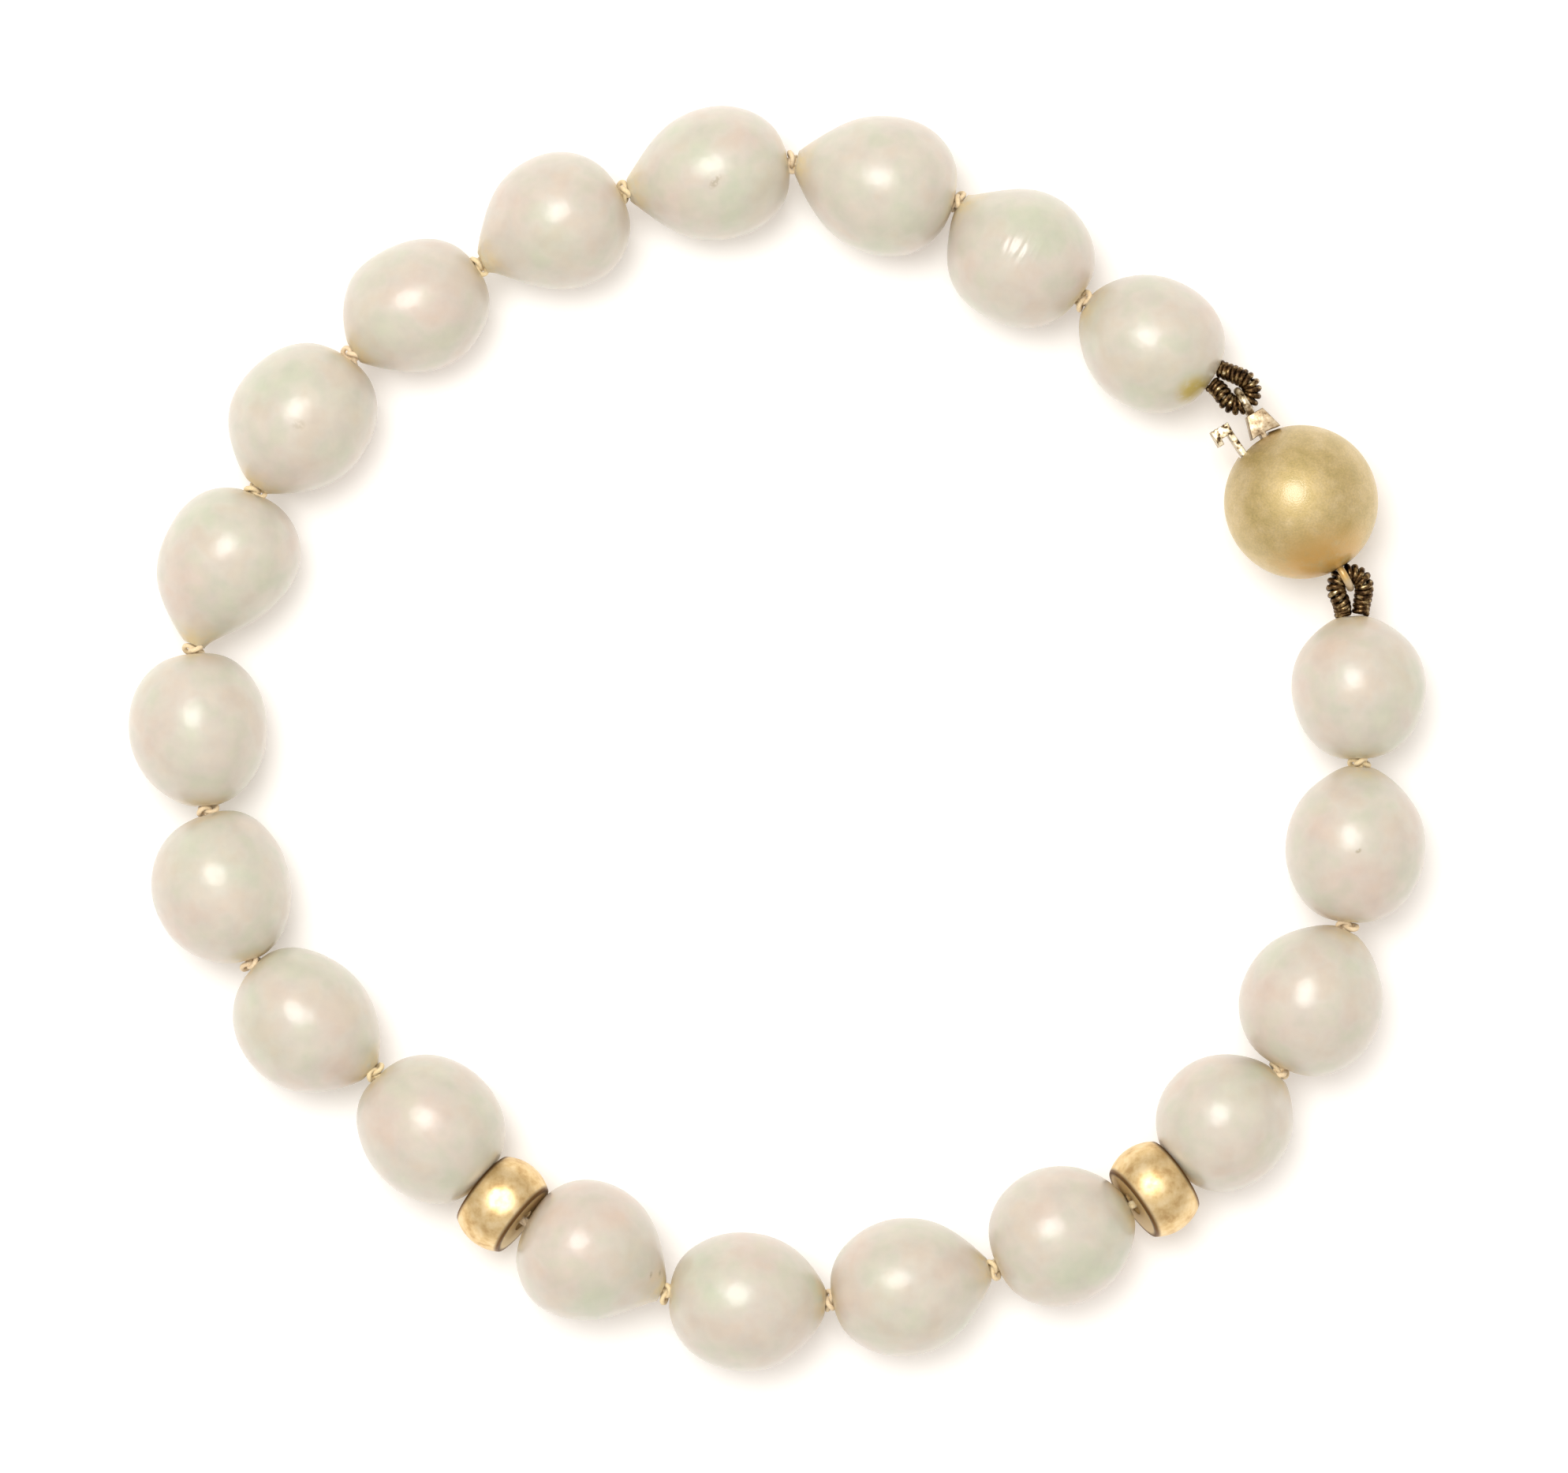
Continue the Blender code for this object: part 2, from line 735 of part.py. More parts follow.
def centre_on_origin(root, group):
    """Moves the loop so that its box is centred on the origin in plan."""
    bpy.context.view_layer.update()
    graph = bpy.context.evaluated_depsgraph_get()
    corners = []
    for obj in group.objects:
        if obj.type == "EMPTY":
            continue
        shown = obj.evaluated_get(graph)
        mesh = shown.to_mesh()
        corners += [shown.matrix_world @ vertex.co for vertex in mesh.vertices]
        shown.to_mesh_clear()
    for axis in (0, 1):
        values = [corner[axis] for corner in corners]
        root.location[axis] = -(min(values) + max(values)) / 2


def main():
    clear_scene()
    group = collection("pearl_bracelet")
    helpers = collection("cutters_and_joins")
    nacre = material("nacre", (0.86, 0.79, 0.66), 0.28, 0.0)
    polished = material("polished_gold", (0.86, 0.63, 0.28), 0.16, 1.0)
    satin = material("satin_gold", (0.80, 0.65, 0.36), 0.42, 1.0)
    silk = material("silk", (0.88, 0.78, 0.60), 0.75, 0.0)
    wire = material("tarnished_wire", (0.42, 0.30, 0.13), 0.38, 1.0)

    spans = closed_strand()
    root = place("bracelet", None, None, None, group)
    for span in spans:
        if span.shape:
            add_pearl(span, nacre, root, group)
        elif span.name != "clasp":
            add_rondelle(span, polished, root, group)
    add_thread(spans, silk, root, group, helpers)
    add_clasp(spans[-1], satin, polished, root, group, helpers)
    add_sleeves(spans, wire, root, group)
    centre_on_origin(root, group)


main()
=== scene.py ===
import json
import math
from collections import namedtuple

import bpy
from mathutils import Matrix, Vector

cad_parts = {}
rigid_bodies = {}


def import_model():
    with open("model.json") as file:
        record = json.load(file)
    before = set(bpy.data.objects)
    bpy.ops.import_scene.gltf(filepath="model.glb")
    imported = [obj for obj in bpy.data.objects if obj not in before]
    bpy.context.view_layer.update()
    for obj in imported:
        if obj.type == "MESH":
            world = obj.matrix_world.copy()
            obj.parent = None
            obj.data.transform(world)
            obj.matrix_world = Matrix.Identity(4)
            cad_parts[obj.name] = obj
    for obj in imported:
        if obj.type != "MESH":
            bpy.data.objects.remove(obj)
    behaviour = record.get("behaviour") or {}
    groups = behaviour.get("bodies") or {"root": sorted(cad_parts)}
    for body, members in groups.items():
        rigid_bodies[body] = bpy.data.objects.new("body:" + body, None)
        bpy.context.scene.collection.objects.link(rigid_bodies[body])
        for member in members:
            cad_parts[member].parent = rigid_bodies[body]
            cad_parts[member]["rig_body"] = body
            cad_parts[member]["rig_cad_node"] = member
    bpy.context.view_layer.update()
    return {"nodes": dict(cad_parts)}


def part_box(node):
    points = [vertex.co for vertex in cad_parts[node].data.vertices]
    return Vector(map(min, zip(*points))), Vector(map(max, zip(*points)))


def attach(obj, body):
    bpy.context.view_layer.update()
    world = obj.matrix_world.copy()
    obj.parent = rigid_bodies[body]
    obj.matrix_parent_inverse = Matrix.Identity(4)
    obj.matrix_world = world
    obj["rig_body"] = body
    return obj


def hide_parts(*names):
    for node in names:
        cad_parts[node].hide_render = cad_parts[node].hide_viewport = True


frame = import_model()

MM = 0.001
STRAND_BODY = "bracelet"
LEAF_BODY = "thumb_leaf"
PEARLS = [f"pearl_{number:02d}" for number in range(1, 21)]
RONDELLES = ["rondelle_1", "rondelle_2"]

# Camera, straight above, at the photograph's own scale
PHOTO_WIDTH, PHOTO_HEIGHT = 1988, 1867
PIXELS_PER_MM = 24.35
BRACELET_MIDDLE_PX = (985.5, 936)
CAMERA_HEIGHT = 0.42
AXIS_HEIGHT = 3.6 * MM
SENSOR_WIDTH = 36.0

# Clasp rings, as in the solids
RING_WIRE = 0.4 * MM
RING_HOLE = 1.1 * MM
RING_RADIUS = (RING_HOLE + RING_WIRE) / 2
RING_OUTER = RING_HOLE / 2 + RING_WIRE
RING_SIDES, RING_WIRE_SIDES = 64, 20

# Wire sleeves: the route is the solids' own, and a fine wire is coiled along it
SLEEVE_SPLAY = 0.46 * MM
SLEEVE_LEAD = 1.25 * MM
SLEEVE_SEAT = 0.1 * MM
SLEEVE_LEG_POINTS = 24
SLEEVE_TURN_POINTS = 30
COIL_WIRE = 0.30 * MM
COIL_PITCH = 0.27 * MM
COIL_THICKNESS = 0.94 * MM
COIL_SWELL = 0.12 * MM
COIL_POINTS = 24

# Mesh work at a jewel's scale. A corner this near a plane cut counts as on it (the operator's own
# 0.1 mm is far too coarse), corners this close are one, and a sliver is this thin.
CUT_TOLERANCE = 0.0001 * MM
MERGE_DISTANCE = 0.0005 * MM
SLIVER = 0.001 * MM
FLAT_ANGLE = 2


# Small helpers

def clear_selection():
    bpy.ops.object.select_all(action="DESELECT")


def make_active(obj):
    clear_selection()
    obj.select_set(True)
    bpy.context.view_layer.objects.active = obj


def name_new(name):
    """Names the primitive that was just added, and its mesh, and returns it."""
    obj = bpy.context.object
    obj.name = name
    obj.data.name = name
    return obj


def apply_place(obj):
    """Moves the object's place into its mesh, so that the object sits at the origin."""
    make_active(obj)
    bpy.ops.object.transform_apply(location=True, rotation=True, scale=True)


def apply_modifier(obj, name, kind, **settings):
    make_active(obj)
    modifier = obj.modifiers.new(name, kind)
    for key, value in settings.items():
        setattr(modifier, key, value)
    bpy.ops.object.modifier_apply(modifier=modifier.name)


def subdivide_smooth(obj, levels):
    apply_modifier(obj, "rounding", "SUBSURF", levels=levels, render_levels=levels)


def round_edges(obj, width, segments, degrees):
    """Bevels the edges that are sharper than some degrees."""
    apply_modifier(
        obj,
        "edges",
        "BEVEL",
        width=width,
        segments=segments,
        limit_method="ANGLE",
        angle_limit=math.radians(degrees),
    )


def combine(obj, other, operation):
    """Adds the other shape to obj or cuts it away, and deletes it."""
    apply_modifier(obj, operation.lower(), "BOOLEAN", operation=operation, object=other)
    bpy.data.objects.remove(other)


def clear_slivers(obj):
    """Merges doubled corners, dissolves slivers and closes the gaps that they leave."""
    make_active(obj)
    bpy.ops.object.mode_set(mode="EDIT")
    bpy.ops.mesh.select_all(action="SELECT")
    bpy.ops.mesh.remove_doubles(threshold=SLIVER)
    bpy.ops.mesh.dissolve_degenerate(threshold=SLIVER)
    bpy.ops.mesh.select_all(action="SELECT")
    bpy.ops.mesh.fill_holes(sides=0)
    bpy.ops.mesh.select_all(action="SELECT")
    bpy.ops.mesh.delete_loose()
    bpy.ops.object.mode_set(mode="OBJECT")


def smooth_by_angle(obj, degrees=35):
    make_active(obj)
    bpy.ops.object.shade_smooth_by_angle(angle=math.radians(degrees))


def merged_copy(node, name):
    """A copy of a CAD node with its loose triangles merged back into quads."""
    obj = frame["nodes"][node].copy()
    obj.data = obj.data.copy()
    obj.name = name
    obj.data.name = name
    bpy.context.scene.collection.objects.link(obj)
    obj.parent = None
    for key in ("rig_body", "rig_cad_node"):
        del obj[key]
    make_active(obj)
    bpy.ops.object.mode_set(mode="EDIT")
    bpy.ops.mesh.select_all(action="SELECT")
    bpy.ops.mesh.remove_doubles(threshold=MERGE_DISTANCE)
    bpy.ops.mesh.tris_convert_to_quads(face_threshold=math.radians(60), shape_threshold=math.radians(60))
    bpy.ops.object.mode_set(mode="OBJECT")
    return obj


def dress(obj, material):
    obj.data.materials.clear()
    obj.data.materials.append(material)


def finish_piece(obj, material, nodes, body=STRAND_BODY):
    dress(obj, material)
    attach(obj, body)
    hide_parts(*nodes)


def tube_along(name, splines, thickness, resolution=2):
    """One mesh of round tubes, each along its own list of points."""
    curve = bpy.data.curves.new(name, "CURVE")
    curve.dimensions = "3D"
    curve.bevel_depth = thickness / 2
    curve.bevel_resolution = resolution
    curve.use_fill_caps = True
    for points, closed in splines:
        spline = curve.splines.new("POLY")
        spline.points.add(len(points) - 1)
        for point, spot in zip(spline.points, points):
            point.co = (*spot, 1)
        spline.use_cyclic_u = closed
    obj = bpy.data.objects.new(name, curve)
    bpy.context.scene.collection.objects.link(obj)
    make_active(obj)
    bpy.ops.object.convert(target="MESH")
    obj = bpy.context.object
    bpy.ops.object.mode_set(mode="EDIT")
    bpy.ops.mesh.select_all(action="SELECT")
    bpy.ops.mesh.remove_doubles(threshold=MERGE_DISTANCE)
    bpy.ops.object.mode_set(mode="OBJECT")
    bpy.ops.object.shade_smooth()
    return obj


# Places measured on the frame

LINING_SHARE = 0.97


def centroid(points):
    return sum(points, Vector()) / len(points)


def drill_ends(node):
    """The two ends of a bead's hole: the middles of the ends of its longest edges, which line it."""
    mesh = frame["nodes"][node].data
    pairs = [tuple(mesh.vertices[index].co for index in edge.vertices) for edge in mesh.edges]
    longest = max((far - near).length for near, far in pairs)
    lining = [pair for pair in pairs if (pair[1] - pair[0]).length > LINING_SHARE * longest]
    along = lining[0][1] - lining[0][0]
    lining = [pair if (pair[1] - pair[0]).dot(along) > 0 else pair[::-1] for pair in lining]
    return centroid([near for near, far in lining]), centroid([far for near, far in lining])


def farthest_vertex(node, spot):
    vertices = frame["nodes"][node].data.vertices
    return max((vertex.co for vertex in vertices), key=lambda co: (co - spot).length).copy()


Bead = namedtuple("Bead", "start end")


def strand_beads(first_spot):
    """Each bead's hole in order round the strand, from the end nearest first_spot."""
    order = PEARLS[:12] + RONDELLES[:1] + PEARLS[12:16] + RONDELLES[1:] + PEARLS[16:]
    spot = first_spot
    beads = {}
    for node in order:
        near, far = sorted(drill_ends(node), key=lambda end: (end - spot).length)
        beads[node] = Bead(near, far)
        spot = far
    return beads


ball_low, ball_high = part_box("clasp_ball")
BALL_RADIUS = (ball_high.z - ball_low.z) / 2
ball_centre = Vector((ball_low.x + BALL_RADIUS, ball_high.y - BALL_RADIUS, ball_low.z + BALL_RADIUS))
tongue_tip = farthest_vertex("clasp_tongue", ball_centre)
ball_tip = farthest_vertex("clasp_ball", ball_centre)
clasp_axis = (tongue_tip - ball_tip).normalized()
clasp_heading = math.atan2(clasp_axis.y, clasp_axis.x)
clasp_place = Matrix.Translation(ball_centre) @ Matrix.Rotation(clasp_heading, 4, "Z")
beads = strand_beads(tongue_tip)


# Materials

PLACE_ATTRIBUTE = "strand_place"
STAIN_SPOT = (21.7 * MM, 18.0 * MM, 5.2 * MM)
STAIN_REACH = 1.4 * MM
STAIN_SHAPE = (1.0, 0.8, 1.6)
RIDGES_SPOT = (12.6 * MM, 25.4 * MM, 7.0 * MM)
RIDGES_REACH = 1.8 * MM
RIDGE_SIZES = (0.42 * MM, 2.2 * MM, 2.2 * MM)
RIDGE_TURN = -28

# Small dark marks in the pearls' skin, painted shade of tiny pits, wrinkles and bumps: plan place, length,
# width and strength, in millimetres and shares, and the crease's angle in degrees
Crease = namedtuple("Crease", "x y length width strength turn")
PAINTED_CREASE_SHADES = (
    Crease(-3.2, 28.75, 1.1, 0.5, 0.55, 50),
    Crease(-24.7, 16.2, 0.9, 0.7, 0.3, 0),
    Crease(-6.55, -27.8, 0.55, 0.20, 0.8, 75),
    Crease(-6.10, -27.75, 0.60, 0.22, 0.9, 82),
    Crease(30.0, -5.8, 0.45, 0.30, 0.7, 30),
)
CREASE_HEIGHT = 7.0 * MM
CREASE_DEPTH = 4.0 * MM


class Finish:
    """A material under construction, with short calls to add nodes and join them."""

    def __init__(self, name, **sockets):
        self.material = bpy.data.materials.new(name)
        self.material.use_nodes = True
        self.nodes = self.material.node_tree.nodes
        self.links = self.material.node_tree.links
        self.shader = self.nodes["Principled BSDF"]
        for socket, value in sockets.items():
            self.shader.inputs[socket.replace("_", " ")].default_value = value
        self.place = self.nodes.new("ShaderNodeTexCoord").outputs["Object"]

    def join(self, source, target):
        self.links.new(source, target)

    def noise(self, size, detail=3.0, roughness=0.55, distortion=0.0, place=None):
        """Noise whose features are about this size, in metres."""
        node = self.nodes.new("ShaderNodeTexNoise")
        node.inputs["Scale"].default_value = 1 / size
        node.inputs["Detail"].default_value = detail
        node.inputs["Roughness"].default_value = roughness
        node.inputs["Distortion"].default_value = distortion
        self.join(place or self.place, node.inputs["Vector"])
        return node.outputs["Fac"]

    def ramp(self, factor, *stops):
        """A colour ramp. Each stop is a position and a colour."""
        node = self.nodes.new("ShaderNodeValToRGB")
        while len(node.color_ramp.elements) < len(stops):
            node.color_ramp.elements.new(0.5)
        for element, (position, colour) in zip(node.color_ramp.elements, stops):
            element.position = position
            element.color = (*colour, 1)
        self.join(factor, node.inputs["Fac"])
        return node.outputs["Color"]

    def range(self, factor, low, high):
        """Spreads a factor from 0..1 to low..high."""
        node = self.nodes.new("ShaderNodeMapRange")
        node.inputs["To Min"].default_value = low
        node.inputs["To Max"].default_value = high
        self.join(factor, node.inputs["Value"])
        return node.outputs["Result"]

    def mix(self, factor, first, second, blend="MIX"):
        """Mixes two colours, each a socket or a fixed colour."""
        node = self.nodes.new("ShaderNodeMix")
        node.data_type = "RGBA"
        node.blend_type = blend
        for value, socket in ((factor, "Factor"), (first, "A"), (second, "B")):
            target = next(i for i in node.inputs if i.name == socket and i.enabled)
            if isinstance(value, bpy.types.NodeSocket):
                self.join(value, target)
            else:
                target.default_value = value if socket == "Factor" else (*value, 1)
        return next(o for o in node.outputs if o.enabled)

    def laid(self, spot, sizes, turn=0.0):
        """Object coordinates about a spot, turned level by some degrees, in units of these sizes."""
        mapping = self.nodes.new("ShaderNodeMapping")
        mapping.vector_type = "TEXTURE"
        mapping.inputs["Location"].default_value = spot
        mapping.inputs["Rotation"].default_value = (0, 0, math.radians(turn))
        mapping.inputs["Scale"].default_value = sizes
        self.join(self.place, mapping.inputs["Vector"])
        return mapping.outputs["Vector"]

    def near(self, spot, reach, stretch=(1, 1, 1), turn=0.0):
        """A factor that is 1 at a spot and falls to 0 at this reach from it."""
        node = self.nodes.new("ShaderNodeTexGradient")
        node.gradient_type = "SPHERICAL"
        self.join(self.laid(spot, [reach * share for share in stretch], turn), node.inputs["Vector"])
        return node.outputs["Fac"]

    def band(self, factor, low, high):
        """0 below low and 1 above high, with a soft change between. Low may be the greater one."""
        node = self.nodes.new("ShaderNodeMapRange")
        node.interpolation_type = "SMOOTHSTEP"
        node.inputs["From Min"].default_value = low
        node.inputs["From Max"].default_value = high
        self.join(factor, node.inputs["Value"])
        return node.outputs["Result"]

    def math(self, operation, first, second):
        node = self.nodes.new("ShaderNodeMath")
        node.operation = operation
        self.join(first, node.inputs[0])
        self.join(second, node.inputs[1])
        return node.outputs["Value"]

    def times(self, first, second):
        return self.math("MULTIPLY", first, second)

    def pearl_place(self):
        """What place_on_strand() wrote on the mesh: millimetres along, millimetres to a mouth, number."""
        attribute = self.nodes.new("ShaderNodeAttribute")
        attribute.attribute_name = PLACE_ATTRIBUTE
        split = self.nodes.new("ShaderNodeSeparateXYZ")
        self.join(attribute.outputs["Vector"], split.inputs["Vector"])
        return split.outputs["X"], split.outputs["Y"], split.outputs["Z"]

    def joined(self, first, second):
        node = self.nodes.new("ShaderNodeCombineXYZ")
        self.join(first, node.inputs["X"])
        self.join(second, node.inputs["Y"])
        return node.outputs["Vector"]

    def shifted(self, number):
        """Object coordinates moved by a pearl's number, so that no two pearls share a pattern."""
        node = self.nodes.new("ShaderNodeVectorMath")
        node.operation = "ADD"
        self.join(self.place, node.inputs[0])
        self.join(number, node.inputs[1])
        return node.outputs["Vector"]

    def vector_math(self, operation, vector, fixed):
        """A vector operation whose second vector is fixed."""
        node = self.nodes.new("ShaderNodeVectorMath")
        node.operation = operation
        node.inputs[1].default_value = fixed
        self.join(vector, node.inputs[0])
        return node

    def distance_along(self, centre, axis):
        """Distance from a centre along an axis, either way."""
        offset = self.vector_math("SUBTRACT", self.place, centre)
        product = self.vector_math("DOT_PRODUCT", offset.outputs["Vector"], axis)
        size = self.nodes.new("ShaderNodeMath")
        size.operation = "ABSOLUTE"
        self.join(product.outputs["Value"], size.inputs[0])
        return size.outputs["Value"]

    def distance_from_line(self, centre, axis):
        """Distance from a line through a centre."""
        offset = self.vector_math("SUBTRACT", self.place, centre)
        product = self.vector_math("CROSS_PRODUCT", offset.outputs["Vector"], axis)
        length = self.nodes.new("ShaderNodeVectorMath")
        length.operation = "LENGTH"
        self.join(product.outputs["Vector"], length.inputs[0])
        return length.outputs["Value"]

    def bump(self, height, depth, strength=1.0):
        """Adds fine relief over any that is there already."""
        node = self.nodes.new("ShaderNodeBump")
        node.inputs["Strength"].default_value = strength
        node.inputs["Distance"].default_value = depth
        self.join(height, node.inputs["Height"])
        target = self.shader.inputs["Normal"]
        if target.is_linked:
            self.join(target.links[0].from_socket, node.inputs["Normal"])
        self.join(node.outputs["Normal"], target)
        self.join(node.outputs["Normal"], self.shader.inputs["Coat Normal"])

    def set_colour(self, source):
        self.join(source, self.shader.inputs["Base Color"])

    def set_roughness(self, source):
        self.join(source, self.shader.inputs["Roughness"])


def nacre(name):
    """Cream nacre with soft greenish and rosy overtones, cloudy just under a satin-bright skin."""
    finish = Finish(
        name,
        Subsurface_Weight=0.5,
        Subsurface_Scale=1.5 * MM,
        Coat_Weight=0.55,
        Coat_Roughness=0.27,
        IOR=1.52,
    )
    finish.shader.inputs["Subsurface Radius"].default_value = (1.0, 0.85, 0.7)
    along, mouth_distance, number = finish.pearl_place()
    own_place = finish.shifted(number)
    tint = finish.ramp(
        finish.noise(4.5 * MM, detail=1.5, place=own_place),
        (0.32, (0.575, 0.565, 0.465)),
        (0.44, (0.60, 0.56, 0.478)),
        (0.55, (0.605, 0.555, 0.48)),
        (0.68, (0.62, 0.54, 0.468)),
    )
    cloud = finish.ramp(
        finish.noise(1.1 * MM, detail=4), (0.30, (0.92, 0.92, 0.94)), (0.70, (1.0, 1.0, 1.0))
    )
    skin = finish.mix(1.0, tint, cloud, "MULTIPLY")
    overtone = finish.ramp(
        finish.noise(1.7 * MM, detail=2, place=own_place),
        (0.34, (0.935, 0.99, 0.93)),
        (0.50, (1.0, 1.0, 0.99)),
        (0.66, (1.0, 0.955, 0.92)),
    )
    skin = finish.mix(1.0, skin, overtone, "MULTIPLY")
    wear = finish.times(finish.band(mouth_distance, 2.3, 0.5), finish.band(finish.noise(0.7 * MM), 0.2, 0.7))
    skin = finish.mix(wear, skin, (0.66, 0.53, 0.31))
    stain = finish.times(
        finish.near(STAIN_SPOT, STAIN_REACH, STAIN_SHAPE), finish.band(finish.noise(0.6 * MM), 0.1, 0.5)
    )
    skin = finish.mix(finish.band(stain, 0.0, 0.7), skin, (0.50, 0.40, 0.12))
    ragged = finish.band(finish.noise(0.18 * MM, detail=4), 0.35, 0.55)
    painted_crease_shade = None
    for crease in PAINTED_CREASE_SHADES:
        spot = (crease.x * MM, crease.y * MM, CREASE_HEIGHT)
        stretch = (crease.length * MM / 2, crease.width * MM / 2, CREASE_DEPTH)
        inside = finish.band(finish.near(spot, 1, stretch, crease.turn), 0.0, 0.6)
        crease_shade_mark = finish.range(inside, 0, crease.strength)
        painted_crease_shade = finish.math("MAXIMUM", painted_crease_shade, crease_shade_mark) if painted_crease_shade else crease_shade_mark
    painted_crease_shade = finish.times(painted_crease_shade, ragged)
    # painted shade: the small pits, wrinkles and bumps are darkened in colour only
    finish.set_colour(finish.mix(painted_crease_shade, skin, (0.36, 0.31, 0.21)))
    finish.set_roughness(finish.range(finish.noise(1.2 * MM, place=own_place), 0.28, 0.37))
    rings = finish.noise(1.0, detail=2, place=finish.joined(along, number))
    uneven = finish.noise(1.5 * MM, detail=2, place=own_place)
    ridges = finish.times(
        finish.band(finish.near(RIDGES_SPOT, RIDGES_REACH), 0.0, 0.8),
        finish.noise(1.0, detail=1, place=finish.laid((0, 0, 0), RIDGE_SIZES, RIDGE_TURN)),
    )
    lips = finish.times(
        finish.band(mouth_distance, 1.15, 0.75), finish.band(finish.noise(0.8 * MM), 0.3, 0.6)
    )
    finish.bump(rings, 0.02 * MM, 0.35)
    finish.bump(uneven, 0.06 * MM, 0.7)
    finish.bump(finish.noise(0.7 * MM, detail=2, place=own_place), 0.016 * MM, 0.6)
    finish.bump(lips, 0.05 * MM, 0.7)
    finish.bump(ridges, 0.14 * MM, 1.0)
    return finish.material


def polished_gold(name, centre, axis, half_length):
    """Bright yellow gold with rubbing marks. Its end faces are painted paler as a painted reflection, and a
    dark line round each rounded rim is painted shade of the gap to its neighbours.
    """
    finish = Finish(name, Metallic=1.0)
    tarnish = finish.noise(0.6 * MM, detail=5)
    gold = finish.ramp(
        tarnish, (0.32, (0.60, 0.40, 0.18)), (0.46, (0.74, 0.55, 0.28)), (0.66, (0.84, 0.67, 0.40))
    )
    across = finish.distance_along(centre, axis)
    rim = finish.band(across, half_length - 0.26 * MM, half_length - 0.06 * MM)
    outward = finish.distance_from_line(centre, axis)
    # painted shade: a dark line round each rounded rim, for the shaded gap to the neighbouring pearl
    edge = finish.times(rim, finish.band(outward, 1.72 * MM, 1.98 * MM))
    # painted reflection: the end faces are painted paler gold
    painted_reflection_faces = finish.mix(rim, gold, (0.84, 0.68, 0.42))
    finish.set_colour(finish.mix(edge, painted_reflection_faces, (0.18, 0.095, 0.035)))
    finish.set_roughness(finish.range(finish.noise(0.25 * MM, detail=5), 0.34, 0.52))
    finish.bump(finish.noise(0.9 * MM, detail=3), 0.02 * MM, 0.5)
    finish.bump(finish.noise(0.1 * MM, detail=3), 0.004 * MM, 0.6)
    return finish.material


def satin_gold(name, joint, browned_and_reflection_spot, collar_spot, ring_spot):
    """Gold with a fine satin grain, darker brown by the collar. Round the ring's soldered joint it is
    browned by tarnish together with a painted shaded reflection of the dark wire sleeve, and the crevice at
    the joint itself has painted shade.
    """
    finish = Finish(name, Metallic=1.0, Coat_Weight=0.55, Coat_Roughness=0.22, Coat_IOR=1.9)
    grain = finish.noise(0.1 * MM, detail=3)
    cloud = finish.noise(1.3 * MM, detail=5, roughness=0.65)
    gold = finish.ramp(
        cloud, (0.34, (0.57, 0.45, 0.18)), (0.50, (0.65, 0.51, 0.23)), (0.66, (0.71, 0.57, 0.30))
    )
    grained = finish.mix(
        1.0, gold, finish.ramp(grain, (0.3, (0.80, 0.80, 0.80)), (0.7, (1.0, 1.0, 1.0))), "MULTIPLY"
    )
    patchy = finish.band(finish.noise(0.8 * MM, detail=4), 0.2, 0.6)
    # tarnish together with a painted shaded reflection of the dark wire sleeve, browning the ball round the
    # ring's joint
    browned_and_reflection = finish.times(finish.band(finish.near(browned_and_reflection_spot, 3.4 * MM), 0.0, 0.7), patchy)
    colour = finish.mix(browned_and_reflection, grained, (0.66, 0.42, 0.12))
    by_collar = finish.times(finish.band(finish.near(collar_spot, 2.2 * MM), 0.0, 0.9), patchy)
    colour = finish.mix(by_collar, colour, (0.42, 0.24, 0.08))
    # painted shade: near-black in the crevice where the ring meets the ball
    painted_joint_shade = finish.band(finish.near(joint, 1.15 * MM), 0.1, 0.6)
    colour = finish.mix(painted_joint_shade, colour, (0.07, 0.035, 0.012))
    ring = finish.band(finish.near(ring_spot, 1.3 * MM), 0.0, 0.4)
    finish.set_colour(finish.mix(ring, colour, (0.72, 0.60, 0.42)))
    finish.set_roughness(finish.range(grain, 0.58, 0.72))
    finish.bump(grain, 0.012 * MM, 0.8)
    return finish.material


def worn_gold(name, pale_spot, pale_reach):
    """Gold sheet gone brown, rubbed pale within some reach of a spot. On the thumb tab the pale is also a
    painted highlight.
    """
    finish = Finish(name, Metallic=1.0)
    wear = finish.noise(0.3 * MM, detail=5, roughness=0.6)
    brown = finish.ramp(
        wear,
        (0.34, (0.20, 0.135, 0.075)),
        (0.46, (0.42, 0.32, 0.20)),
        (0.60, (0.56, 0.46, 0.32)),
        (0.74, (0.72, 0.63, 0.47)),
    )
    pale = finish.ramp(
        wear,
        (0.38, (0.05, 0.03, 0.015)),
        (0.45, (0.36, 0.27, 0.15)),
        (0.54, (0.74, 0.65, 0.47)),
        (0.72, (0.88, 0.82, 0.66)),
    )
    # rubbed pale wear; on the thumb tab the pale is also a painted highlight
    rubbed_and_tab_highlight = finish.band(finish.near(pale_spot, pale_reach), 0.0, 0.3)
    finish.set_colour(finish.mix(rubbed_and_tab_highlight, brown, pale))
    finish.set_roughness(finish.range(wear, 0.55, 0.34))
    finish.bump(finish.noise(0.15 * MM, detail=4), 0.02 * MM, 0.6)
    return finish.material


